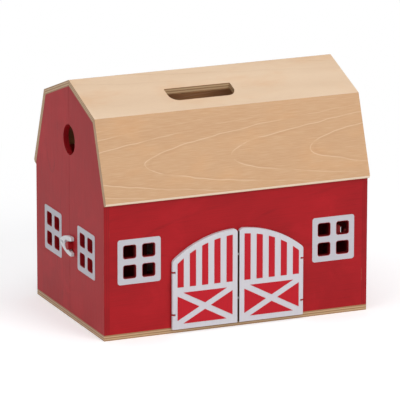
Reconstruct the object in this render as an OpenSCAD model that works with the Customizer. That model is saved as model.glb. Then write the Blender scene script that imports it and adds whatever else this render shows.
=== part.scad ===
// Toy barn with opening doors, made of plywood panels in two halves that open like a book.
// The front wall faces -Y, the ridge runs along X, and the barn stands on Z = 0.
// All sizes are in millimetres and all angles in degrees.

/* [Barn] */
// Length of the barn along its ridge
length = 320; // [300:1:340]
// Depth over the outer faces of the two long walls
wall_depth = 204; // [198:1:210]
// Thickness of the plywood panels
ply = 6.5; // [6:0.5:7]
// Gap between the front half and the back half
seam_gap = 0.4; // [0.3:0.1:0.6]
// Height of the upper face of the loft boards
loft_z = 158; // [150:0.5:165]

/* [Roof] */
// Height of the outer lower edge of the steep roof panels
eave_z = 156.5; // [152:0.5:161]
// How far the eaves stand out past the long walls
eave_out = 7.1; // [6.8:0.1:9]
// Height of the bend between the steep and the upper roof panels
bend_z = 247.3; // [240:0.1:255]
// Lean of the steep roof panels from upright
steep_lean = 20; // [17:1:23]
// Slope of the upper roof panels
top_slope = 20; // [17:1:23]
// Chamfer along the outer lower edge of the steep panels
eave_chamfer = 2; // [1:0.5:3]
// Length of the carrying slot along the ridge
slot_length = 80; // [70:1:100]
// Width of the carrying slot, level with the ground
slot_width = 23; // [23:0.5:30]
// Distance of the slot's nearer edge from the ridge
slot_from_ridge = 34; // [28:0.5:36]
// Where the middle of the slot lies along the ridge
slot_x = -20; // [-30:1:30]
// Radius of the slot's two lower corners
slot_corner_r = 11.5; // [8:0.5:11.5]

/* [Gate] */
// Half the width over both gate leaves
gate_half = 80; // [76:0.5:84]
// Height of the gate's crown above the ground
gate_top_z = 113.7; // [108:0.1:118]
// Radius of the arch over both leaves
arch_r = 121; // [115:1:130]
// Radius of the arch's rounded shoulders
shoulder_r = 8; // [7:0.5:10]
// Thickness of the gate leaves
gate_t = 4; // [3.5:0.5:4.5]
// Gap between the two gate leaves
meeting_gap = 2; // [1.6:0.1:2.4]
// Width of the white border round a gate leaf
gate_border = 6.2; // [5.5:0.1:7]
// Lower edge of the gate's middle rail
mid_rail_z = 47; // [44:0.5:50]
// Height of the gate's middle rail
mid_rail_h = 6.4; // [5:0.1:8]
// Width of the diagonal braces on the gate
brace_w = 6.6; // [5:0.1:7.5]
// How far the gate lies over the wall round the gateway
gate_lap = 5.5; // [5:0.5:6]

/* [Windows] */
// Width of a window's white frame
window_w = 51.5; // [48:0.5:54]
// Height of the middle of the windows above the ground
window_z = 88.4; // [84:0.1:92]
// Width of a window pane hole
pane_w = 14.8; // [13:0.1:16]
// Distance between the middles of two panes
pane_pitch = 22.8; // [21:0.1:24]
// Bare red margin round a pane
pane_margin = 0.6; // [0.4:0.1:1]
// Distance of the front windows from the middle of the barn
front_window_x = 118; // [112:1:122]
// Distance of the back windows from the middle of the barn
back_window_x = 96; // [88:1:100]
// Distance of the gable windows from the seam
gable_window_y = 50; // [48:1:56]
// Height of the middle of the round gable holes
round_hole_z = 206.5; // [200:0.5:212]
// Radius of the round gable holes
round_hole_r = 17.3; // [14:0.1:19]

/* [Stable door] */
// Half the width of the two stable door leaves
door_half = 39; // [36:0.5:42]
// Height of the lower leaf's bottom edge
door_foot_z = 8.6; // [7.5:0.1:10]
// Height of the gap between the two leaves
door_split_z = 64; // [60:0.5:68]
// Height of the upper leaf's top edge
door_top_z = 119.6; // [117:0.1:124]
// Thickness of the stable door leaves
door_t = 4; // [3.5:0.1:4]
// Half the width of the doorway behind the leaves
doorway_half = 27; // [24:0.5:30]
// Height of the top of the doorway
doorway_top_z = 114; // [110:0.5:115]
// Height of the top of the doorway's sill
doorway_foot_z = 12; // [10:0.5:14]
// Width of the stable door's upright borders
door_stile = 15; // [12:0.5:17]
// Height of the stable door's level borders
door_rail = 6.5; // [5:0.5:8]
// Width of the stable door's diagonal braces
door_brace_w = 5; // [4:0.5:6]

/* [Catch] */
// Height of the middle of the catch above the ground
catch_z = 86; // [80:0.5:92]
// Radius of the peg that the catch grips
peg_r = 4.6; // [4:0.1:5.2]
// How far the peg stands out of the gable
peg_out = 6; // [5.5:0.1:6.5]
// Thickness of the catch
catch_t = 4; // [3:0.5:4.5]

/* [Hidden] */
$fn = 96;

// Colours
barn_red = [0.66, 0.13, 0.17];
gate_red = [0.77, 0.10, 0.19];
print_white = [0.88, 0.88, 0.90];
bare_wood = [0.84, 0.68, 0.50];
steel = [0.72, 0.72, 0.74];
nickel = [0.80, 0.80, 0.82];

// Which half, and which end or leaf
front = -1;
back = 1;
left = -1;
right = 1;

// Small allowances
past = 1;          // how far a cut runs past the faces that it opens
move_gap = 0.4;    // gap between pieces that move past each other
print_t = 0.3;     // thickness that stands in for a print on wood
run_gap = 0.05;    // radial clearance of a pin that turns

// Roof, worked out from its edges. d is a distance from the seam, whichever half it is in.
wall_half = wall_depth / 2;
eave_half = wall_half + eave_out;
bend_half = eave_half - (bend_z - eave_z) * tan(steep_lean);
steep_across = ply / cos(steep_lean);
top_down = ply / cos(top_slope);
inner_bend_drop = (top_down - tan(top_slope) * steep_across) / (1 - tan(steep_lean) * tan(top_slope));
inner_bend_z = bend_z - inner_bend_drop;
inner_bend_half = bend_half - steep_across + inner_bend_drop * tan(steep_lean);
seam_half = seam_gap / 2;

function steep_inner_z(d) = bend_z + (bend_half - steep_across - d) / tan(steep_lean);
function top_outer_z(d) = bend_z + (bend_half - d) * tan(top_slope);
function top_inner_z(d) = top_outer_z(d) - top_down;

// Gate, worked out from its outline. Its leaves lie over the gateway, on the wall's outer face.
arch_centre_z = gate_top_z - arch_r;
shoulder_x = gate_half - shoulder_r;
shoulder_z = arch_centre_z + sqrt(pow(arch_r - shoulder_r, 2) - pow(shoulder_x, 2));
shoulder_angle = atan2(shoulder_z - arch_centre_z, shoulder_x);
meeting_corner_r = 4.8;
meeting_x = meeting_gap / 2;
leaf_foot_z = ply - 1.5;
foot_rail_h = 6.2;
gate_mid_y = -wall_half - move_gap - gate_t / 2;
gate_face_y = gate_mid_y - gate_t / 2;
slat_count = 5;
field_x0 = meeting_x + gate_border;
field_w = (gate_half - gate_border - field_x0) / (2 * slat_count - 1);
field_foot_z = leaf_foot_z + foot_rail_h;
magnet_heights = [32.9, 83.7];
magnet_r = 1.25;
magnet_length = 5;
magnet_out = 0.7;

// The gate turns on pins that stand in the middle of its rounded outer edges. The lugs are flat eyes
// let into the wall, which carry the pins in notches in those edges.
gate_pin_x = gate_half - gate_t / 2 - 0.05;
gate_pin_r = 0.7;
gate_pin_grip = 8;
gate_pin_foot_z = leaf_foot_z + 1;
gate_pin_top_z = shoulder_z + 3;
lug_heights = [22, 71];
lug_t = 1.6;
lug_r = gate_t / 2 - move_gap;
lug_set_in = 5;
notch_h = 2.2;
notch_x = gate_pin_x - lug_r - move_gap;

// Window corners
pane_corner_r = 2.3;
window_corner_r = 3;

// Stable door, which lies over its doorway on the outer face of the back wall
door_face_y = wall_half + move_gap;
door_pin_in = 2.8;
door_gap = 0.8;
door_corner_r = 1.5;
door_hinge_x = door_half + 2.6;
door_hinge_y = door_face_y + door_pin_in;
door_knuckle_r = 2;
door_pin_r = 0.9;
door_pin_head_r = 1.6;
door_plate_t = 0.8;
door_plate_w = 10;
door_hinge_h = 24;

// Barn hinges on the right gable
barn_hinge_x = length / 2 + 3.3;
barn_knuckle_r = 2.7;
barn_pin_r = 1.4;
barn_plate_t = 1.2;
barn_plate_w = 16;
barn_hinge_h = 32;
barn_hinge_heights = [38, 148];
knuckle_count = 3;
knuckle_gap = 0.4;
barn_pin_head_r = 2.1;
pin_head_h = 0.8;

// Where a hinge plate's screws sit: their share of its width, and of its height up and down
screw_share = 0.65;
screw_spread = 0.32;

// Screws: head radius, shank radius, head height, length
base_screw = [3, 1.3, 2, 20];
hinge_screw = [2, 0.9, 1.2, 5.5];
strap_screw = [1.6, 0.8, 0.8, 3.5];
catch_screw = [1.9, 0.9, 1.2, 8];
base_screw_spots = [
    for (end = [left, right])
        for (spot = [
            [length / 2 - 22, wall_half - ply / 2],
            [gate_half + 14, wall_half - ply / 2],
            [length / 2 - ply / 2, 34],
            [length / 2 - ply / 2, 74]
        ]) [end * spot[0], spot[1]]
];

// Catch
catch_half_h = 11;
catch_tail = 18.5;
catch_tail_r = 2.5;
catch_reach = 14.4;
catch_widest = 10;
catch_arc_r = 52;
mouth_r = peg_r + move_gap;
mouth_end = 6;
mouth_flare = 2.2;
peg_y = -peg_r - 1.6;
tenon_r = 2.5;
catch_screw_spots = [11.5, 16.5];

// Placing and building blocks

// Draws in the half named, from a drawing of the back half
module in_half(half) {
    if (half == front) mirror([0, 1, 0]) children();
    else children();
}

// Draws at the end named, from a drawing of the right-hand one
module at_end(end) {
    if (end == left) mirror([1, 0, 0]) children();
    else children();
}

// A prism along X, of an outline drawn as (distance from the seam, height)
module prism_x(x, span) {
    translate([x, 0, 0])
        rotate([90, 0, 90])
            linear_extrude(span) children();
}

// A slab that faces Y, of an outline drawn as (x, height)
module slab_y(y, thick) {
    translate([0, y + thick, 0])
        rotate([90, 0, 0])
            linear_extrude(thick) children();
}

// A rectangle with round corners about its middle
module round_rect(w, h, r) {
    square([w - 2 * r, h], center = true);
    square([w, h - 2 * r], center = true);
    for (sx = [-1, 1])
        for (sy = [-1, 1])
            translate([sx * (w / 2 - r), sy * (h / 2 - r)]) circle(r);
}

// The four panes of a window, grown by a margin
module panes(margin) {
    for (sx = [-1, 1])
        for (sy = [-1, 1])
            translate([sx, sy] * pane_pitch / 2)
                round_rect(pane_w + 2 * margin, pane_w + 2 * margin, pane_corner_r + margin);
}

module window_frame() {
    difference() {
        round_rect(window_w, window_w, window_corner_r);
        panes(pane_margin);
    }
}

// A countersunk screw with its flat head at the origin, driven along +Z
module screw_body(screw) {
    cylinder(h = screw[2], r1 = screw[0], r2 = screw[1], $fn = 48);
    cylinder(h = screw[3], r = screw[1], $fn = 48);
}

module cross_screw(screw) {
    slot_w = screw[0] * 0.28;
    slot_l = screw[0] * 1.2;
    difference() {
        screw_body(screw);
        for (turn = [0, 90])
            rotate([0, 0, turn])
                cube([slot_l, slot_w, screw[2] * 0.9], center = true);
    }
}

// Half of a butt hinge whose pin stands on the Z axis at the origin. The plate lies towards +Y with its
// back face at x = -stand, and the knuckles in the list belong to this half.
module hinge_half(height, knuckles, knuckle_r, pin_r, plate_t, plate_w, stand) {
    step = height / knuckle_count;
    clear = knuckle_r + move_gap;
    difference() {
        union() {
            translate([-stand, clear, -height / 2]) cube([plate_t, plate_w - clear, height]);
            for (k = knuckles)
                translate([0, 0, -height / 2 + k * step + knuckle_gap / 2]) {
                    cylinder(h = step - knuckle_gap, r = knuckle_r, $fn = 48);
                    translate([-stand, 0, 0]) cube([plate_t, clear + past, step - knuckle_gap]);
                    translate([-stand, 0, 0])
                        cube([stand - pin_r - 0.5, knuckle_r * 0.6, step - knuckle_gap]);
                }
        }
        translate([0, 0, -height / 2 - past])
            cylinder(h = height + 2 * past, r = pin_r + run_gap, $fn = 48);
    }
}

// A pin with a head at each end, through a hinge of the height given
module hinge_pin(height, pin_r, head_r) {
    head_foot = height / 2 - knuckle_gap / 2;
    translate([0, 0, -height / 2]) cylinder(h = height, r = pin_r, $fn = 48);
    translate([0, 0, head_foot]) cylinder(h = pin_head_h, r = head_r, $fn = 48);
    translate([0, 0, -head_foot - pin_head_h]) cylinder(h = pin_head_h, r = head_r, $fn = 48);
}

// Panels

module base_screws(half) {
    color(steel)
        in_half(half)
            for (spot = base_screw_spots)
                translate([spot[0], spot[1], 0]) cross_screw(base_screw);
}

module base_screw_holes(half) {
    in_half(half)
        for (spot = base_screw_spots)
            translate([spot[0], spot[1], 0]) screw_body(base_screw);
}

module floor_panel(half) {
    color(bare_wood)
        difference() {
            in_half(half)
                translate([-length / 2, seam_half, 0]) cube([length, wall_half - seam_half, ply]);
            base_screw_holes(half);
        }
}

module loft_panel(half) {
    color(bare_wood)
        in_half(half)
            translate([-length / 2 + ply, seam_half, loft_z - ply])
                cube([length - 2 * ply, wall_half - ply - seam_half, ply]);
}

module wall_blank(half) {
    in_half(half)
        prism_x(-length / 2 + ply, length - 2 * ply)
            polygon([
                [wall_half - ply, ply],
                [wall_half, ply],
                [wall_half, steep_inner_z(wall_half)],
                [wall_half - ply, steep_inner_z(wall_half - ply)]
            ]);
}

module wall_front() {
    color(barn_red)
        difference() {
            wall_blank(front);
            slab_y(-wall_half - past, ply + 2 * past) inset_arch(gate_lap);
            slab_y(-wall_half - past, ply + 2 * past)
                for (end = [left, right])
                    translate([end * front_window_x, window_z]) panes(0);
            gate_lug_blades();
            base_screw_holes(front);
        }
}

module wall_back() {
    color(barn_red)
        difference() {
            wall_blank(back);
            slab_y(wall_half - ply - past, ply + 2 * past) {
                translate([-doorway_half, doorway_foot_z])
                    square([2 * doorway_half, doorway_top_z - doorway_foot_z]);
                for (end = [left, right])
                    translate([end * back_window_x, window_z]) panes(0);
            }
            door_screw_bodies();
            base_screw_holes(back);
        }
}

module gable(half, end) {
    color(barn_red)
        difference() {
            in_half(half)
                at_end(end)
                    prism_x(length / 2 - ply, ply)
                        difference() {
                            polygon([
                                [seam_half, ply],
                                [wall_half, ply],
                                [wall_half, steep_inner_z(wall_half)],
                                [inner_bend_half, inner_bend_z],
                                [seam_half, top_inner_z(seam_half)]
                            ]);
                            translate([0, round_hole_z]) circle(round_hole_r);
                            translate([gable_window_y, window_z]) panes(0);
                        }
            base_screw_holes(half);
            if (end == right) barn_hinge_screw_bodies(half);
            if (end == left && half == back) catch_screw_bodies();
            if (end == left && half == front) catch_tenon();
        }
}

module roof_steep(half) {
    down = [sin(steep_lean), -cos(steep_lean)];
    inward = [-cos(steep_lean), -sin(steep_lean)];
    tip = [eave_half, eave_z];
    color(bare_wood)
        in_half(half)
            prism_x(-length / 2, length)
                polygon([
                    [bend_half, bend_z],
                    tip - down * eave_chamfer,
                    tip + inward * eave_chamfer,
                    tip + inward * ply,
                    [inner_bend_half, inner_bend_z]
                ]);
}

// The slot's outline seen from above, round at its lower corners and nearly square at the others
module slot_outline() {
    small_r = 1.5;
    far = slot_from_ridge;
    near = slot_from_ridge + slot_width;
    translate([slot_x, 0]) {
        translate([-slot_length / 2 + small_r, far])
            square([slot_length - 2 * small_r, slot_width - slot_corner_r]);
        translate([-slot_length / 2, far + small_r])
            square([slot_length, slot_width - slot_corner_r - small_r]);
        translate([-slot_length / 2 + slot_corner_r, far + small_r])
            square([slot_length - 2 * slot_corner_r, slot_width - small_r]);
        for (sx = [-1, 1]) {
            translate([sx * (slot_length / 2 - small_r), far + small_r]) circle(small_r);
            translate([sx * (slot_length / 2 - slot_corner_r), near - slot_corner_r])
                circle(slot_corner_r);
        }
    }
}

module roof_top(half) {
    color(bare_wood)
        in_half(half)
            difference() {
                prism_x(-length / 2, length)
                    polygon([
                        [bend_half, bend_z],
                        [inner_bend_half, inner_bend_z],
                        [seam_half, top_inner_z(seam_half)],
                        [seam_half, top_outer_z(seam_half)]
                    ]);
                translate([0, 0, inner_bend_z - past])
                    linear_extrude(top_outer_z(0) - inner_bend_z + 2 * past) slot_outline();
            }
}

// Window prints

module long_wall_trim(half, end) {
    x = end * (half == front ? front_window_x : back_window_x);
    color(print_white)
        in_half(half)
            slab_y(wall_half, print_t)
                translate([x, window_z]) window_frame();
}

module gable_trim(half, end) {
    color(print_white)
        in_half(half)
            at_end(end)
                prism_x(length / 2, print_t)
                    translate([gable_window_y, window_z]) window_frame();
}

// Gate

function arc(centre, r, from, to, steps) = [
    for (i = [0:steps])
        let (turn = from + (to - from) * i / steps)
            centre + r * [cos(turn), sin(turn)]
];

// From the foot of the right-hand side, up round the shoulder and along the arch to the angle named,
// all at the distance named inside the gate's edge
function arch_side(inset, foot_z, last_angle) = concat(
    [[gate_half - inset, foot_z]],
    arc([shoulder_x, shoulder_z], shoulder_r - inset, 0, shoulder_angle, 10),
    arc([0, arch_centre_z], arch_r - inset, shoulder_angle, last_angle, 30)
);

// The outline of both leaves together, drawn in by the distance named
module inset_arch(inset) {
    side = arch_side(inset, 0, 90);
    other_side = [for (i = [len(side) - 1:-1:0]) [-side[i][0], side[i][1]]];
    polygon(concat(side, other_side));
}

// The outline of the right-hand leaf
module leaf_outline() {
    corner_x = meeting_x + meeting_corner_r;
    corner_z = arch_centre_z + sqrt(pow(arch_r - meeting_corner_r, 2) - pow(corner_x, 2));
    corner_angle = atan2(corner_z - arch_centre_z, corner_x);
    polygon(concat(
        arch_side(0, leaf_foot_z, corner_angle),
        arc([corner_x, corner_z], meeting_corner_r, corner_angle, 180, 10),
        [[meeting_x, leaf_foot_z]]
    ));
}

// A leaf seen from above, with its outer edge rounded about the pins
module leaf_plan() {
    translate([0, gate_face_y]) square([gate_pin_x, gate_t]);
    translate([gate_pin_x, gate_mid_y]) circle(gate_t / 2);
}

// The lower and the upper pin, made longer by the distance named at the ends where they are pushed in
module gate_pin_bodies(longer) {
    foot = gate_pin_foot_z - longer;
    upper_foot = lug_heights[1] - gate_pin_grip;
    translate([gate_pin_x, gate_mid_y, foot])
        cylinder(h = lug_heights[0] + gate_pin_grip - foot, r = gate_pin_r, $fn = 48);
    translate([gate_pin_x, gate_mid_y, upper_foot])
        cylinder(h = gate_pin_top_z + longer - upper_foot, r = gate_pin_r, $fn = 48);
}

module gate_magnet_bodies() {
    for (z = magnet_heights)
        translate([meeting_x - magnet_out, gate_mid_y, z])
            rotate([0, 90, 0]) cylinder(h = magnet_length, r = magnet_r, $fn = 48);
}

module gate_board(end) {
    color(print_white)
        at_end(end)
            difference() {
                intersection() {
                    slab_y(gate_face_y - past, gate_t + 2 * past) leaf_outline();
                    linear_extrude(gate_top_z + past) leaf_plan();
                }
                for (z = lug_heights)
                    translate([notch_x, gate_face_y - past, z - notch_h / 2])
                        cube([gate_t, gate_t + 2 * past, notch_h]);
                gate_pin_bodies(4);
                gate_magnet_bodies();
            }
}

// The four fields that two crossed braces leave in a panel, drawn from the panel's lower left corner
module crossed_panel(w, h, brace) {
    difference() {
        square([w, h]);
        for (lean = [-1, 1])
            translate([w / 2, h / 2])
                rotate(lean * atan2(h, w)) square([2 * norm([w, h]), brace], center = true);
    }
}

module gate_fields(end) {
    mid_rail_top = mid_rail_z + mid_rail_h;
    color(gate_red)
        at_end(end)
            slab_y(gate_face_y - print_t, print_t) {
                intersection() {
                    inset_arch(gate_border);
                    for (i = [0:slat_count - 1])
                        translate([field_x0 + 2 * i * field_w, mid_rail_top])
                            square([field_w, gate_top_z]);
                }
                translate([field_x0, field_foot_z])
                    crossed_panel(gate_half - gate_border - field_x0, mid_rail_z - field_foot_z, brace_w);
            }
}

module gate_pins(end) {
    color(steel) at_end(end) gate_pin_bodies(0);
}

module gate_magnets(end) {
    color(nickel) at_end(end) gate_magnet_bodies();
}

module gate_lug_places() {
    for (end = [left, right])
        at_end(end)
            for (z = lug_heights)
                translate([gate_pin_x, gate_mid_y, z - lug_t / 2]) children();
}

// The lugs without their eyes, which is also the shape of their pockets in the wall
module gate_lug_blades() {
    gate_lug_places()
        linear_extrude(lug_t) {
            circle(lug_r);
            translate([-lug_r, 0]) square([2 * lug_r, gate_t / 2 + move_gap + lug_set_in]);
        }
}

module gate_hinge_lugs() {
    color(barn_red)
        difference() {
            gate_lug_blades();
            gate_lug_places()
                translate([0, 0, -past])
                    cylinder(h = lug_t + 2 * past, r = gate_pin_r + run_gap, $fn = 48);
        }
}

// Catch

module catch_outline() {
    lean_in = catch_arc_r - catch_half_h;
    difference() {
        union() {
            intersection() {
                translate([-catch_widest, -lean_in]) circle(catch_arc_r, $fn = 180);
                translate([-catch_widest, lean_in]) circle(catch_arc_r, $fn = 180);
                translate([-catch_reach, -catch_half_h])
                    square([catch_reach + catch_tail, 2 * catch_half_h]);
            }
            translate([catch_tail, 0]) circle(catch_tail_r);
        }
        translate([mouth_end - mouth_r, 0]) circle(mouth_r);
        translate([-catch_reach - past, -mouth_r])
            square([catch_reach + past + mouth_end - mouth_r, 2 * mouth_r]);
        polygon([
            [peg_y, mouth_r],
            [peg_y, -mouth_r],
            [-catch_reach - past, -mouth_r - mouth_flare],
            [-catch_reach - past, mouth_r + mouth_flare]
        ]);
    }
}

module catch_screw_bodies() {
    for (y = catch_screw_spots)
        translate([-length / 2 - catch_t, y, catch_z])
            rotate([0, 90, 0]) screw_body(catch_screw);
}

module catch_clip() {
    color(print_white)
        difference() {
            translate([0, 0, catch_z]) prism_x(-length / 2 - catch_t, catch_t) catch_outline();
            translate([-length / 2 - move_gap, -catch_reach - past, catch_z - catch_half_h])
                cube([move_gap + past, catch_reach + past + seam_half, 2 * catch_half_h]);
            catch_screw_bodies();
        }
}

module catch_screws() {
    color(steel)
        for (y = catch_screw_spots)
            translate([-length / 2 - catch_t, y, catch_z])
                rotate([0, 90, 0]) cross_screw(catch_screw);
}

module catch_tenon() {
    translate([-length / 2, peg_y, catch_z])
        rotate([0, 90, 0]) cylinder(h = ply, r = tenon_r);
}

module catch_peg() {
    color(barn_red) {
        catch_tenon();
        translate([-length / 2 - peg_out, peg_y, catch_z])
            rotate([0, 90, 0]) cylinder(h = peg_out, r = peg_r);
    }
}

// Barn hinges

module barn_hinge_places(half) {
    in_half(half)
        for (z = barn_hinge_heights)
            translate([barn_hinge_x, 0, z]) children();
}

module barn_hinge_screw_places(half) {
    barn_hinge_places(half)
        for (lift = [-1, 1])
            translate([
                length / 2 + barn_plate_t - barn_hinge_x,
                barn_plate_w * screw_share,
                lift * barn_hinge_h * screw_spread
            ])
                rotate([0, -90, 0]) children();
}

module barn_hinge_screw_bodies(half) {
    barn_hinge_screw_places(half) screw_body(hinge_screw);
}

module barn_hinge_plates(half) {
    knuckles = half == front ? [0, 2] : [1];
    color(steel)
        difference() {
            barn_hinge_places(half)
                hinge_half(barn_hinge_h, knuckles, barn_knuckle_r, barn_pin_r,
                           barn_plate_t, barn_plate_w, barn_hinge_x - length / 2);
            barn_hinge_screw_bodies(half);
        }
}

module barn_hinge_screws(half) {
    color(steel) barn_hinge_screw_places(half) cross_screw(hinge_screw);
}

module barn_hinge_pins() {
    color(steel) barn_hinge_places(front) hinge_pin(barn_hinge_h, barn_pin_r, barn_pin_head_r);
}

// Stable door

upper = 1;
lower = -1;

function door_foot(leaf) = leaf == upper ? door_split_z + door_gap / 2 : door_foot_z;
function door_head(leaf) = leaf == upper ? door_top_z : door_split_z - door_gap / 2;
function door_mid(leaf) = (door_foot(leaf) + door_head(leaf)) / 2;

module door_board(leaf) {
    h = door_head(leaf) - door_foot(leaf);
    color(print_white)
        difference() {
            slab_y(door_face_y, door_t)
                translate([0, door_mid(leaf)]) round_rect(2 * door_half, h, door_corner_r);
            door_strap_screw_places(leaf) screw_body(strap_screw);
        }
}

module door_fields(leaf) {
    foot = door_foot(leaf) + door_rail;
    head = door_head(leaf) - door_rail;
    color(gate_red)
        slab_y(door_face_y + door_t, print_t)
            translate([-door_half + door_stile, foot])
                crossed_panel(2 * (door_half - door_stile), head - foot, door_brace_w);
}

module door_hinge_place(leaf) {
    translate([door_hinge_x, door_hinge_y, door_mid(leaf)]) children();
}

// The strap lies on the leaf's outer face
module door_strap_screw_places(leaf) {
    door_hinge_place(leaf)
        for (lift = [-1, 1])
            translate([
                -door_plate_w * screw_share,
                door_t - door_pin_in + door_plate_t,
                lift * door_hinge_h * screw_spread
            ])
                rotate([90, 0, 0]) children();
}

module door_hinge_strap(leaf) {
    color(print_white)
        difference() {
            door_hinge_place(leaf)
                mirror([1, 0, 0])
                    rotate([0, 0, -90])
                        hinge_half(door_hinge_h, [1], door_knuckle_r, door_pin_r,
                                   door_plate_t, door_plate_w, door_t - door_pin_in + door_plate_t);
            door_strap_screw_places(leaf) screw_body(strap_screw);
        }
}

module door_strap_screws(leaf) {
    color(steel) door_strap_screw_places(leaf) cross_screw(strap_screw);
}

module door_screw_places() {
    for (leaf = [upper, lower])
        door_hinge_place(leaf)
            for (lift = [-1, 1])
                translate([
                    door_plate_w * screw_share,
                    wall_half + door_plate_t - door_hinge_y,
                    lift * door_hinge_h * screw_spread
                ])
                    rotate([90, 0, 0]) children();
}

module door_screw_bodies() {
    door_screw_places() screw_body(strap_screw);
}

module door_hinge_brackets() {
    color(print_white)
        difference() {
            for (leaf = [upper, lower])
                door_hinge_place(leaf)
                    rotate([0, 0, -90])
                        mirror([1, 0, 0])
                            hinge_half(door_hinge_h, [0, 2], door_knuckle_r, door_pin_r,
                                       door_plate_t, door_plate_w, door_hinge_y - wall_half);
            door_screw_bodies();
        }
}

module door_hinge_pins() {
    color(steel)
        for (leaf = [upper, lower])
            door_hinge_place(leaf) hinge_pin(door_hinge_h, door_pin_r, door_pin_head_r);
}

module door_hinge_screws() {
    color(steel) door_screw_places() cross_screw(strap_screw);
}

floor_panel(front);  // floor_front
loft_panel(front);  // loft_front
wall_front();
gable(front, left);  // gable_left_front
gable(front, right);  // gable_right_front
roof_steep(front);  // roof_steep_front
roof_top(front);  // roof_top_front
long_wall_trim(front, left);  // window_trim_front_left
long_wall_trim(front, right);  // window_trim_front_right
gable_trim(front, left);  // gable_trim_left_front
gable_trim(front, right);  // gable_trim_right_front
base_screws(front);  // base_screws_front
gate_hinge_lugs();
catch_peg();
barn_hinge_plates(front);  // barn_hinge_plates_front
barn_hinge_pins();
barn_hinge_screws(front);  // barn_hinge_screws_front
gate_board(left);  // gate_board_left
gate_fields(left);  // gate_fields_left
gate_pins(left);  // gate_pins_left
gate_magnets(left);  // gate_magnets_left
gate_board(right);  // gate_board_right
gate_fields(right);  // gate_fields_right
gate_pins(right);  // gate_pins_right
gate_magnets(right);  // gate_magnets_right
floor_panel(back);  // floor_back
loft_panel(back);  // loft_back
wall_back();
gable(back, left);  // gable_left_back
gable(back, right);  // gable_right_back
roof_steep(back);  // roof_steep_back
roof_top(back);  // roof_top_back
long_wall_trim(back, left);  // window_trim_back_left
long_wall_trim(back, right);  // window_trim_back_right
gable_trim(back, left);  // gable_trim_left_back
gable_trim(back, right);  // gable_trim_right_back
base_screws(back);  // base_screws_back
catch_clip();
catch_screws();
barn_hinge_plates(back);  // barn_hinge_plates_back
barn_hinge_screws(back);  // barn_hinge_screws_back
door_hinge_brackets();
door_hinge_pins();
door_hinge_screws();
door_board(upper);  // door_board_upper
door_fields(upper);  // door_fields_upper
door_hinge_strap(upper);  // door_hinge_strap_upper
door_strap_screws(upper);  // door_strap_screws_upper
door_board(lower);  // door_board_lower
door_fields(lower);  // door_fields_lower
door_hinge_strap(lower);  // door_hinge_strap_lower
door_strap_screws(lower);  // door_strap_screws_lower
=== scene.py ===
import math

import bmesh
import bpy
from mathutils import Matrix, Vector

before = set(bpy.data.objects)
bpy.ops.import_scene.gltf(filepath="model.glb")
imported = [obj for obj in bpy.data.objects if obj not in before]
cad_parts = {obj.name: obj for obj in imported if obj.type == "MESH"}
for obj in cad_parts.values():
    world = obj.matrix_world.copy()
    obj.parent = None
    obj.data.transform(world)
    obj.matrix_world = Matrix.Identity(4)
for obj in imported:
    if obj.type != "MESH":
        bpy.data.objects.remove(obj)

# The view of the photograph
CAMERA_AZIMUTH = -23.235
CAMERA_ELEVATION = 15.131
CAMERA_ROLL = 0.07
CAMERA_DISTANCE = 5.0
CAMERA_AIM = Vector((-0.0513, -0.1168, 0.1545))
LENS_MM = 407.9
SENSOR_MM = 36.0

# Wood colours as they look on the screen, in 8-bit steps
# The same plywood in two tones: the steep panels darker as painted shade, the top panels lighter as
# painted light
STEEP_WOOD_SHADED = (202, 157, 114)
TOP_WOOD_LIT = (230, 202, 172)
INNER_WOOD = (206, 172, 132)
# Pale cut wood brightened by a painted highlight, for chamfers that face down
CHAMFER_WOOD_HIGHLIGHT = (246, 226, 198)
WARM_WOOD = (218, 160, 104)
PALE_GRAIN = (240, 214, 180)
DARK_GRAIN = (186, 138, 94)
EDGE_LIGHT = (206, 178, 140)
EDGE_DARK = (146, 112, 78)
# Bare wood darkened by painted shade, for the gap between the gate's leaves
EDGE_RAW_SHADED = (112, 92, 74)

# Stain, print and paint colours, in 8-bit steps
STAIN_RED = (178, 18, 28)
STAIN_DARK = (140, 12, 20)
STAIN_PALE = (190, 24, 34)
# Deep red on cut edges: end grain that takes more stain, darkened further by painted shade
STAIN_DEEP_AND_SHADE = (92, 14, 18)
PRINT_RED = (204, 14, 32)
PRINT_RED_SHADE = (172, 20, 40)
TRIM_WHITE = (208, 206, 212)
TRIM_SHADE = (194, 192, 200)
BOARD_WHITE = (222, 221, 226)
BOARD_SHADE = (205, 204, 212)
BOARD_WORN = (186, 178, 170)
ENAMEL_WHITE = (224, 224, 227)

# Plastic and metal colours, in 8-bit steps
CLIP_WHITE = (232, 232, 234)
WHITE_SHADE = (204, 204, 208)
STEEL_GREY = (176, 178, 182)
STEEL_DULL = (122, 122, 124)
NICKEL_PALE = (206, 204, 200)

# The boards, in metres from the frame's origin, and the roof's two angles
PLY_COUNT = 5
PANEL_THICKNESS = 0.0065
HALF_DEPTH = 0.102
HALF_LENGTH = 0.160
LOFT_TOP = 0.158
EAVE = Vector((0, 0.1091, 0.1565))
ROOF_BEND = Vector((0, 0.07605, 0.2473))
STEEP_LEAN = math.radians(20)
TOP_SLOPE = math.radians(20)

# Directions
ALONG_RIDGE = (1, 0, 0)
FORWARD = (0, -1, 0)
UP = (0, 0, 1)
DOWN = (0, 0, -1)

# The cosine of the lean up to which a surface belongs to a board's face, or to an edge's chamfer
FACE_COSINE = 0.93
CHAMFER_COSINE = 0.5

# The width of worn rims, where the gate's middle is bare wood darkened by painted shade and where it
# is painted, and bump depths, in metres
RIM_RADIUS = 0.0007
GATE_SHADED_BARE_OFF_MIDDLE = 0.0011
GATE_PAINTED_OFF_MIDDLE = 0.0014
VENEER_RELIEF = 0.00005
PAINT_RELIEF = 0.00004
PLASTIC_RELIEF = 0.00003
METAL_RELIEF = 0.00002

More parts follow.
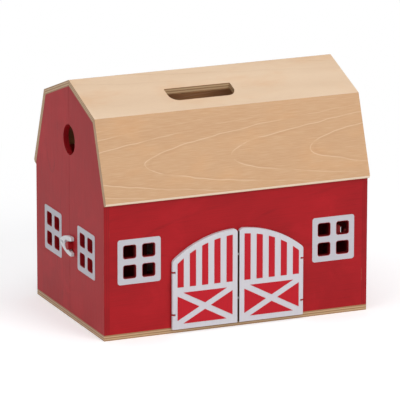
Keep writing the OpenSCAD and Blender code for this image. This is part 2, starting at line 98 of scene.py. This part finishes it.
# The studio
WHITE = (1.0, 1.0, 1.0, 1.0)
FLOOR_GREY = (0.86, 0.86, 0.865, 1.0)
FLOOR_REACH = 6.0
FLOOR_GLOW = 0.36
FLOOR_FADE_START = 0.3
FLOOR_FADE_END = 0.75
AMBIENT_COLOUR = (0.95, 0.97, 1.0, 1.0)
AMBIENT_STRENGTH = 0.27


def screen(colour):
    """A screen colour in 8-bit steps as the linear colour that nodes use."""
    def linear(step):
        share = step / 255
        if share <= 0.04045:
            return share / 12.92
        return ((share + 0.055) / 1.055) ** 2.4

    return (*(linear(step) for step in colour), 1.0)


class Shader:
    """A material's node tree, with short ways to add nodes and join them."""

    def __init__(self, name):
        self.material = bpy.data.materials.new(name)
        self.material.use_nodes = True
        self.tree = self.material.node_tree
        self.surface = self.tree.nodes["Principled BSDF"]

    def node(self, kind, inputs, **settings):
        made = self.tree.nodes.new(kind)
        for name, value in settings.items():
            setattr(made, name, value)
        for key, value in inputs.items():
            self.put(made.inputs[key], value)
        return made

    def put(self, socket, value):
        """Joins a socket to another one, or sets it to a fixed value."""
        if isinstance(value, bpy.types.NodeSocket):
            self.tree.links.new(value, socket)
        else:
            socket.default_value = value

    def math(self, operation, first, second=0.0, third=0.0):
        inputs = {0: first, 1: second, 2: third}
        return self.node("ShaderNodeMath", inputs, operation=operation).outputs[0]

    def plus(self, first, second):
        return self.math("ADD", first, second)

    def minus(self, first, second):
        return self.math("SUBTRACT", first, second)

    def times(self, first, second):
        return self.math("MULTIPLY", first, second)

    def over(self, first, second):
        return self.math("DIVIDE", first, second)

    def size_of(self, value):
        return self.math("ABSOLUTE", value)

    def spread(self, value, low, high):
        """A value from 0 to 1 spread evenly from low to high."""
        return self.math("MULTIPLY_ADD", value, high - low, low)

    def between(self, value, zero_at, one_at):
        """0 at one value, 1 at another, and smooth between them."""
        inputs = {"Value": value, "From Min": zero_at, "From Max": one_at}
        made = self.node("ShaderNodeMapRange", inputs, interpolation_type="SMOOTHSTEP")
        return made.outputs["Result"]

    def dot(self, vector, axis):
        inputs = {0: vector, 1: axis}
        return self.node("ShaderNodeVectorMath", inputs, operation="DOT_PRODUCT").outputs["Value"]

    def vector(self, x, y, z):
        return self.node("ShaderNodeCombineXYZ", {0: x, 1: y, 2: z}).outputs[0]

    def mix(self, share, first, second):
        inputs = {0: share, 6: first, 7: second}
        return self.node("ShaderNodeMix", inputs, data_type="RGBA").outputs[2]

    def tint(self, base, colour, pattern, strength):
        """The base turned towards a screen colour, by the strength where the pattern is 1."""
        return self.mix(self.times(pattern, strength), base, screen(colour))

    def noise(self, vector, scale, detail=3.0, rough=0.55, distort=0.0):
        inputs = {
            "Vector": vector,
            "Scale": scale,
            "Detail": detail,
            "Roughness": rough,
            "Distortion": distort,
        }
        return self.node("ShaderNodeTexNoise", inputs).outputs["Fac"]

    def coordinates(self):
        """The place on the object and the direction that its surface faces there."""
        made = self.node("ShaderNodeTexCoord", {})
        return made.outputs["Object"], made.outputs["Normal"]

    def bump(self, height, depth):
        inputs = {"Height": height, "Distance": depth, "Strength": 1.0}
        return self.node("ShaderNodeBump", inputs).outputs["Normal"]

    def rim(self):
        """How near the surface is to a sharp edge: 1 on the edge, 0 away from it."""
        rounded = self.node("ShaderNodeBevel", {"Radius": RIM_RADIUS}, samples=6).outputs["Normal"]
        flat = self.node("ShaderNodeNewGeometry", {}).outputs["Normal"]
        return self.between(self.dot(rounded, flat), zero_at=0.995, one_at=0.85)

    def finish(self, colour, roughness, **inputs):
        """Sets the surface's colour, roughness and other inputs, whose names have _ for each space."""
        self.put(self.surface.inputs["Base Color"], colour)
        self.put(self.surface.inputs["Roughness"], roughness)
        for name, value in inputs.items():
            self.put(self.surface.inputs[name.replace("_", " ")], value)
        return self.material


class Figure:
    """The long pointed arches of one veneer: the place of their axis across the grain and of an
    apex along it, how strongly they bend, and their distance from one to the next."""

    def __init__(self, axis, apex, bend, pitch):
        self.axis = axis
        self.apex = apex
        self.bend = bend
        self.pitch = pitch


class Board:
    """The coordinates and grain of one board, in a material."""

    def __init__(self, shader, outward, grain, face_at, seed):
        self.shader = shader
        outward = Vector(outward).normalized()
        grain = Vector(grain).normalized()
        across = outward.cross(grain)
        place, normal = shader.coordinates()
        self.along = shader.dot(place, grain)
        self.across = shader.dot(place, across)
        self.depth = shader.minus(face_at, shader.dot(place, outward))
        self.facing = shader.dot(normal, outward)
        self.place = place
        self.seed = seed

    def edge(self):
        """1 on the board's edges and 0 on its two faces."""
        s = self.shader
        return s.math("LESS_THAN", s.size_of(self.facing), FACE_COSINE)

    def streaks(self, length, width, detail=4.0):
        """Noise drawn out along the grain. Length and width are in metres."""
        s = self.shader
        place = s.vector(s.over(self.along, length), s.over(self.across, width), self.seed)
        return s.noise(place, 1.0, detail, rough=0.6)

    def arches(self, figure, width, shift=0.0):
        """Thin lines along a figure's arches, which fade in and out and away from their axis."""
        s = self.shader
        sway = s.spread(self.streaks(0.045, 0.060, detail=2.0), -0.003, 0.003)
        side = s.plus(s.minus(self.across, figure.axis), sway)
        fall = s.times(s.times(side, side), figure.bend)
        apex = figure.apex + shift
        drift = s.spread(self.streaks(0.12, 0.06, detail=2.0), -0.015 - apex, 0.015 - apex)
        steep = s.times(side, 2 * figure.bend)
        slope = s.math("SQRT", s.math("MULTIPLY_ADD", steep, steep, 1.0))
        grown = s.plus(s.minus(self.along, fall), drift)
        away = s.over(s.math("PINGPONG", grown, figure.pitch / 2), slope)
        line = s.between(away, zero_at=width, one_at=width * 0.35)
        inside = s.between(s.size_of(side), zero_at=0.052, one_at=0.024)
        broken = s.between(self.streaks(0.09, 0.02), 0.36, 0.56)
        return s.times(line, s.times(inside, broken))

    def plies(self):
        """0 in the plies that are light on a cut edge and 1 in the dark plies between them."""
        s = self.shader
        waver = s.spread(s.noise(self.place, 60.0), -0.125, 0.125)
        layer = s.plus(s.over(self.depth, PANEL_THICKNESS / PLY_COUNT), waver)
        wave = s.math("PINGPONG", s.plus(layer, 0.5), 1.0)
        return s.between(wave, 0.35, 0.65)

    def edge_colour(self):
        """The light and dark plies of a bare cut edge, with their pores."""
        s = self.shader
        pores = s.noise(self.place, 900.0, detail=2.0)
        light = s.mix(pores, screen(EDGE_LIGHT), screen(INNER_WOOD))
        dark = s.mix(pores, screen(EDGE_DARK), screen(DARK_GRAIN))
        return s.mix(self.plies(), light, dark)


def veneer_colour(board, tone, figure):
    """Clear lacquered veneer: broad tone shifts, short fine fibres and a few long pale arches."""
    s = board.shader
    broad = s.between(board.streaks(0.30, 0.05, detail=2.0), 0.3, 0.75)
    blotch = s.between(board.streaks(0.07, 0.035, detail=3.0), 0.45, 0.75)
    fibre = s.between(board.streaks(0.022, 0.0007), 0.40, 0.70)
    pores = s.between(board.streaks(0.007, 0.0004, detail=2.0), 0.60, 0.72)
    shadow = board.arches(figure, width=0.0024, shift=0.006)
    lines = board.arches(figure, width=0.0008)
    colour = s.tint(screen(tone), DARK_GRAIN, broad, 0.26)
    colour = s.tint(colour, WARM_WOOD, blotch, 0.30)
    colour = s.tint(colour, PALE_GRAIN, fibre, 0.20)
    colour = s.tint(colour, DARK_GRAIN, pores, 0.20)
    colour = s.tint(colour, DARK_GRAIN, shadow, 0.2)
    return s.tint(colour, PALE_GRAIN, lines, 0.4)


def bare_ply(name, outward, face_at, tone, figure, seed):
    """A clear lacquered plywood board with its plies showing on its edges, and chamfers that are pale
    cut wood brightened by a painted highlight.
    """
    s = Shader(name)
    board = Board(s, outward, ALONG_RIDGE, face_at, seed)
    chamfer = s.math("GREATER_THAN", board.facing, CHAMFER_COSINE)
    # The chamfers take a paler colour than the other cut edges: a painted highlight on pale cut wood
    cut = s.mix(chamfer, board.edge_colour(), screen(CHAMFER_WOOD_HIGHLIGHT))
    colour = s.mix(board.edge(), veneer_colour(board, tone, figure), cut)
    relief = s.plus(board.streaks(0.03, 0.0008), s.times(board.plies(), board.edge()))
    roughness = s.spread(board.streaks(0.05, 0.002), 0.38, 0.52)
    return s.finish(colour, roughness, Normal=s.bump(relief, VENEER_RELIEF), Specular_IOR_Level=0.35)


def stained_ply(name, outward, grain, face_at, figure, cut_stain_and_shade, seed):
    """Plywood stained red, darker on its cut edges by a share that the caller gives, partly end grain
    that takes more stain and partly painted shade, and a little rubbed off at them.
    """
    s = Shader(name)
    board = Board(s, outward, grain, face_at, seed)
    veneer = s.times(board.arches(figure, width=0.0022), 0.3)
    fibre = s.times(s.between(board.streaks(0.04, 0.0010), 0.35, 0.75), 0.34)
    cloud = s.times(s.between(s.noise(board.place, 11.0), 0.35, 0.75), 0.36)
    rubbing = s.noise(board.place, 17.0, detail=4.0, rough=0.6, distort=0.8)
    wiped = s.between(rubbing, 0.48, 0.70)
    # Cut edges darkened: partly more stain in the end grain, partly painted shade
    edge_stain_and_shade = s.times(board.edge(), s.spread(board.plies(), cut_stain_and_shade, cut_stain_and_shade + 0.2))
    worn = s.times(s.rim(), s.between(s.noise(board.place, 38.0, detail=5.0), 0.50, 0.72))
    colour = s.mix(s.plus(s.plus(veneer, fibre), cloud), screen(STAIN_RED), screen(STAIN_DARK))
    colour = s.tint(colour, STAIN_PALE, wiped, 0.5)
    colour = s.mix(edge_stain_and_shade, colour, screen(STAIN_DEEP_AND_SHADE))
    colour = s.tint(colour, DARK_GRAIN, worn, 0.5)
    roughness = s.spread(board.streaks(0.04, 0.0015), 0.42, 0.58)
    relief = s.plus(board.streaks(0.05, 0.0009), s.times(veneer, 0.8))
    return s.finish(colour, roughness, Normal=s.bump(relief, VENEER_RELIEF), Specular_IOR_Level=0.22)


def paint(name, colour, shade, grain=UP, worn=None, bare_shaded_middle=None):
    """Paint that shows a little of the wood's grain, with worn rims, and if asked a bare middle
    darkened by painted shade.
    """
    s = Shader(name)
    board = Board(s, FORWARD, grain, face_at=0.0, seed=2.0)
    fibre = s.between(board.streaks(0.04, 0.0010), 0.3, 0.75)
    cloud = s.noise(board.place, 24.0)
    tone = s.tint(screen(colour), shade, s.plus(fibre, cloud), 0.32)
    if worn is not None:
        chips = s.times(s.rim(), s.between(s.noise(board.place, 140.0, detail=4.0), 0.5, 0.6))
        tone = s.tint(tone, worn, chips, 0.55)
    # The bare middle is darkened as painted shade in the gap between the leaves
    if bare_shaded_middle is not None:
        off_middle = s.size_of(s.dot(board.place, ALONG_RIDGE))
        bare = s.between(off_middle, GATE_PAINTED_OFF_MIDDLE, GATE_SHADED_BARE_OFF_MIDDLE)
        tone = s.mix(bare, tone, screen(bare_shaded_middle))
    roughness = s.spread(cloud, 0.34, 0.54)
    relief = s.plus(board.streaks(0.03, 0.0008), s.times(cloud, 0.3))
    return s.finish(tone, roughness, Normal=s.bump(relief, PAINT_RELIEF), Specular_IOR_Level=0.25)


def metal(name, colour, brushed):
    """Plated metal with fine brush marks, drawn out by brushed, and a few dull spots."""
    s = Shader(name)
    place, _ = s.coordinates()
    inputs = {0: place, 1: brushed}
    stretched = s.node("ShaderNodeVectorMath", inputs, operation="MULTIPLY").outputs[0]
    marks = s.noise(stretched, 260.0)
    dulled = s.between(s.noise(place, 420.0, detail=4.0), 0.5, 0.75)
    tone = s.tint(screen(colour), STEEL_DULL, dulled, 0.35)
    roughness = s.plus(s.spread(marks, 0.2, 0.4), s.times(dulled, 0.12))
    return s.finish(tone, roughness, Metallic=1.0, Normal=s.bump(marks, METAL_RELIEF))


def moulded(name, colour, shade):
    """Moulded plastic with a faint grain and a little clouding in its colour and shine."""
    s = Shader(name)
    place, _ = s.coordinates()
    grain = s.noise(place, 1400.0, detail=2.0)
    cloud = s.noise(place, 70.0)
    tone = s.tint(screen(colour), shade, cloud, 0.2)
    return s.finish(
        tone,
        s.spread(cloud, 0.26, 0.42),
        Normal=s.bump(grain, PLASTIC_RELIEF),
        Coat_Weight=0.2,
        Coat_Roughness=0.15,
    )


def roof_looks(half, turn):
    """The two roof panels of one half, which lies on the side of y that turn says."""
    steep_out = (0, turn * math.cos(STEEP_LEAN), math.sin(STEEP_LEAN))
    steep_at = EAVE.y * math.cos(STEEP_LEAN) + EAVE.z * math.sin(STEEP_LEAN)
    steep_figure = Figure(axis=turn * -0.1506, apex=-0.006, bend=140.0, pitch=0.099)
    top_out = (0, turn * math.sin(TOP_SLOPE), math.cos(TOP_SLOPE))
    top_at = ROOF_BEND.y * math.sin(TOP_SLOPE) + ROOF_BEND.z * math.cos(TOP_SLOPE)
    top_figure = Figure(axis=turn * -0.11, apex=0.02, bend=160.0, pitch=0.16)
    # The steep panels take the darker tone as painted shade and the top panels the lighter one as
    # painted light
    return {
        f"roof_steep_{half}": bare_ply(
            f"steep roof {half}", steep_out, steep_at, STEEP_WOOD_SHADED, steep_figure, seed=2.0 + turn),
        f"roof_top_{half}": bare_ply(
            f"top roof {half}", top_out, top_at, TOP_WOOD_LIT, top_figure, seed=5.0 + turn),
    }


def level_looks(half, turn):
    """The floor and the loft board of one half."""
    floor_figure = Figure(axis=turn * 0.04, apex=0.03, bend=110.0, pitch=0.12)
    loft_figure = Figure(axis=turn * -0.05, apex=0.06, bend=130.0, pitch=0.11)
    return {
        f"floor_{half}": bare_ply(
            f"floor {half}", DOWN, 0.0, INNER_WOOD, floor_figure, seed=8.0 + turn),
        f"loft_{half}": bare_ply(
            f"loft {half}", UP, LOFT_TOP, INNER_WOOD, loft_figure, seed=11.0 + turn),
    }


def wall_looks(half, turn):
    """The long wall and the two gable halves of one half, with a grain that runs a little off true."""
    wall_figure = Figure(axis=0.11, apex=0.02, bend=90.0, pitch=0.13)
    gable_figure = Figure(axis=0.05, apex=0.04, bend=120.0, pitch=0.12)
    wall_grain = (1, 0, 0.03)
    gable_grain = (0, 0.03, 1)
    looks = {
        f"wall_{half}": stained_ply(
            f"long wall {half}", (0, turn, 0), wall_grain, HALF_DEPTH, wall_figure,
            # The long wall's cut edges line its window holes and get the most painted shade
            cut_stain_and_shade=0.7, seed=2.0 + turn),
    }
    for side, end in (("left", -1), ("right", 1)):
        looks[f"gable_{side}_{half}"] = stained_ply(
            f"gable {side} {half}", (end, 0, 0), gable_grain, HALF_LENGTH, gable_figure,
            cut_stain_and_shade=0.1, seed=5.0 + turn + end)
    return looks


def make_coats():
    """The print, paint, enamel, plastic and nickel, by how the names of their nodes start."""
    white_print = paint("white print", TRIM_WHITE, TRIM_SHADE, ALONG_RIDGE)
    white_board = paint("white painted board", BOARD_WHITE, BOARD_SHADE, worn=BOARD_WORN)
    white_gate = paint(
        "white painted gate", BOARD_WHITE, BOARD_SHADE, worn=BOARD_WORN, bare_shaded_middle=EDGE_RAW_SHADED)
    red_print = paint("red print", PRINT_RED, PRINT_RED_SHADE)
    red_paint = paint("red paint", STAIN_RED, STAIN_DARK, worn=DARK_GRAIN)
    white_enamel = paint("white enamel", ENAMEL_WHITE, WHITE_SHADE, worn=STEEL_GREY)
    return {
        "window_trim": white_print,
        "gable_trim": white_print,
        "gate_board": white_gate,
        "door_board": white_board,
        "gate_fields": red_print,
        "door_fields": red_print,
        "gate_hinge_lugs": red_paint,
        "catch_peg": red_paint,
        "door_hinge_brackets": white_enamel,
        "door_hinge_strap": white_enamel,
        "catch_clip": moulded("white plastic", CLIP_WHITE, WHITE_SHADE),
        "gate_magnets": metal("nickel plate", NICKEL_PALE, brushed=(1, 1, 1)),
    }


def build_materials():
    """Every CAD node's material, by the node's name. Nodes without a look or coat are steel."""
    looks = {}
    for half, turn in (("front", -1), ("back", 1)):
        looks.update(roof_looks(half, turn))
        looks.update(level_looks(half, turn))
        looks.update(wall_looks(half, turn))
    steel = metal("zinc plated steel", STEEL_GREY, brushed=(1, 1, 60))
    coats = make_coats()
    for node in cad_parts:
        if node in looks:
            continue
        looks[node] = steel
        for start, coat in coats.items():
            if node.startswith(start):
                looks[node] = coat
    return looks


def dress(looks):
    """Gives each CAD node its material."""
    for name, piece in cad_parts.items():
        piece.data.materials.clear()
        piece.data.materials.append(looks[name])


def background_share(tree):
    """1 for the rays that show the background, straight from the camera or off and through a piece."""
    rays = tree.nodes.new("ShaderNodeLightPath")
    share = rays.outputs["Is Camera Ray"]
    for kind in ("Is Glossy Ray", "Is Transmission Ray"):
        larger = tree.nodes.new("ShaderNodeMath")
        larger.operation = "MAXIMUM"
        tree.links.new(share, larger.inputs[0])
        tree.links.new(rays.outputs[kind], larger.inputs[1])
        share = larger.outputs[0]
    return share


def floor_material():
    """Pale grey that keeps the barn's shadow and fades to white away from it."""
    s = Shader("studio floor")
    place, _ = s.coordinates()
    s.finish(FLOOR_GREY, 0.9, Emission_Color=WHITE)
    distance = s.node("ShaderNodeVectorMath", {0: place}, operation="LENGTH").outputs["Value"]
    far = s.between(distance, FLOOR_FADE_START, FLOOR_FADE_END)
    shown = background_share(s.tree)
    s.put(s.surface.inputs["Emission Strength"], s.times(shown, FLOOR_GLOW))
    glow = s.node("ShaderNodeEmission", {"Color": WHITE, "Strength": 1.0})
    inputs = {0: s.times(far, shown), 1: s.surface.outputs[0], 2: glow.outputs[0]}
    blend = s.node("ShaderNodeMixShader", inputs)
    s.put(s.tree.nodes["Material Output"].inputs["Surface"], blend.outputs[0])
    return s.material


def make_floor():
    """A level floor under the barn."""
    mesh = bpy.data.meshes.new("floor")
    shape = bmesh.new()
    bmesh.ops.create_grid(shape, x_segments=2, y_segments=2, size=FLOOR_REACH)
    shape.to_mesh(mesh)
    shape.free()
    mesh.materials.append(floor_material())
    floor = bpy.data.objects.new("studio_floor", mesh)
    bpy.context.scene.collection.objects.link(floor)


def add_lamp(name, place, aim, size, power, colour=(1.0, 1.0, 1.0), spread=180):
    """A square lamp that shines from a place towards an aim, spread over an angle in degrees."""
    lamp = bpy.data.lights.new(name, "AREA")
    lamp.shape = "SQUARE"
    lamp.size = size
    lamp.energy = power
    lamp.color = colour
    lamp.spread = math.radians(spread)
    made = bpy.data.objects.new(name, lamp)
    made.location = place
    made.rotation_mode = "QUATERNION"
    made.rotation_quaternion = (Vector(aim) - Vector(place)).to_track_quat("-Z", "Y")
    bpy.context.scene.collection.objects.link(made)


def place_lamps():
    """A soft key from the front right, a large softbox overhead, a weak fill from the left, and in
    the loft a faint lamp for the light that the bare roof throws about in there."""
    middle = (0.0, 0.0, 0.12)
    warm_white = (1.0, 0.99, 0.97)
    cool_white = (0.97, 0.98, 1.0)
    wood_glow = (1.0, 0.80, 0.74)
    roof_underside = (0.035, 0.077, 0.224)
    add_lamp("key", (1.1, -2.6, 1.7), middle, size=1.6, power=39.2, colour=warm_white)
    add_lamp("overhead", (-0.2, -0.2, 2.4), middle, size=2.2, power=26.6)
    add_lamp("fill", (-2.4, -1.2, 1.0), middle, size=1.8, power=10.0, colour=cool_white)
    add_lamp(
        "loft glow", (0.01, 0.01, 0.205), roof_underside,
        size=0.03, power=0.0032, colour=wood_glow, spread=90)


def surround():
    """A world that shows white behind the barn and lights it at a low level."""
    world = bpy.data.worlds.new("studio")
    bpy.context.scene.world = world
    world.use_nodes = True
    tree = world.node_tree
    ambient = tree.nodes["Background"]
    ambient.inputs["Color"].default_value = AMBIENT_COLOUR
    ambient.inputs["Strength"].default_value = AMBIENT_STRENGTH
    white = tree.nodes.new("ShaderNodeBackground")
    white.inputs["Color"].default_value = WHITE
    blend = tree.nodes.new("ShaderNodeMixShader")
    tree.links.new(background_share(tree), blend.inputs[0])
    tree.links.new(ambient.outputs[0], blend.inputs[1])
    tree.links.new(white.outputs[0], blend.inputs[2])
    tree.links.new(blend.outputs[0], tree.nodes["World Output"].inputs["Surface"])


def place_camera():
    """The camera at the photograph's viewing angle."""
    turn = math.radians(CAMERA_AZIMUTH)
    tilt = math.radians(CAMERA_ELEVATION)
    back = Vector((math.sin(turn) * math.cos(tilt), -math.cos(turn) * math.cos(tilt), math.sin(tilt)))
    right = Vector(UP).cross(back).normalized()
    upright = Matrix((right, back.cross(right), back)).transposed()
    camera = bpy.data.cameras.new("camera")
    camera.sensor_width = SENSOR_MM
    camera.lens = LENS_MM
    camera.clip_end = 50.0
    made = bpy.data.objects.new("camera", camera)
    made.matrix_world = (
        Matrix.Translation(CAMERA_AIM + back * CAMERA_DISTANCE)
        @ upright.to_4x4()
        @ Matrix.Rotation(math.radians(CAMERA_ROLL), 4, "Z")
    )
    bpy.context.scene.collection.objects.link(made)
    bpy.context.scene.camera = made


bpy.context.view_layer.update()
bpy.context.scene.view_settings.view_transform = "Standard"
dress(build_materials())
make_floor()
place_lamps()
surround()
place_camera()
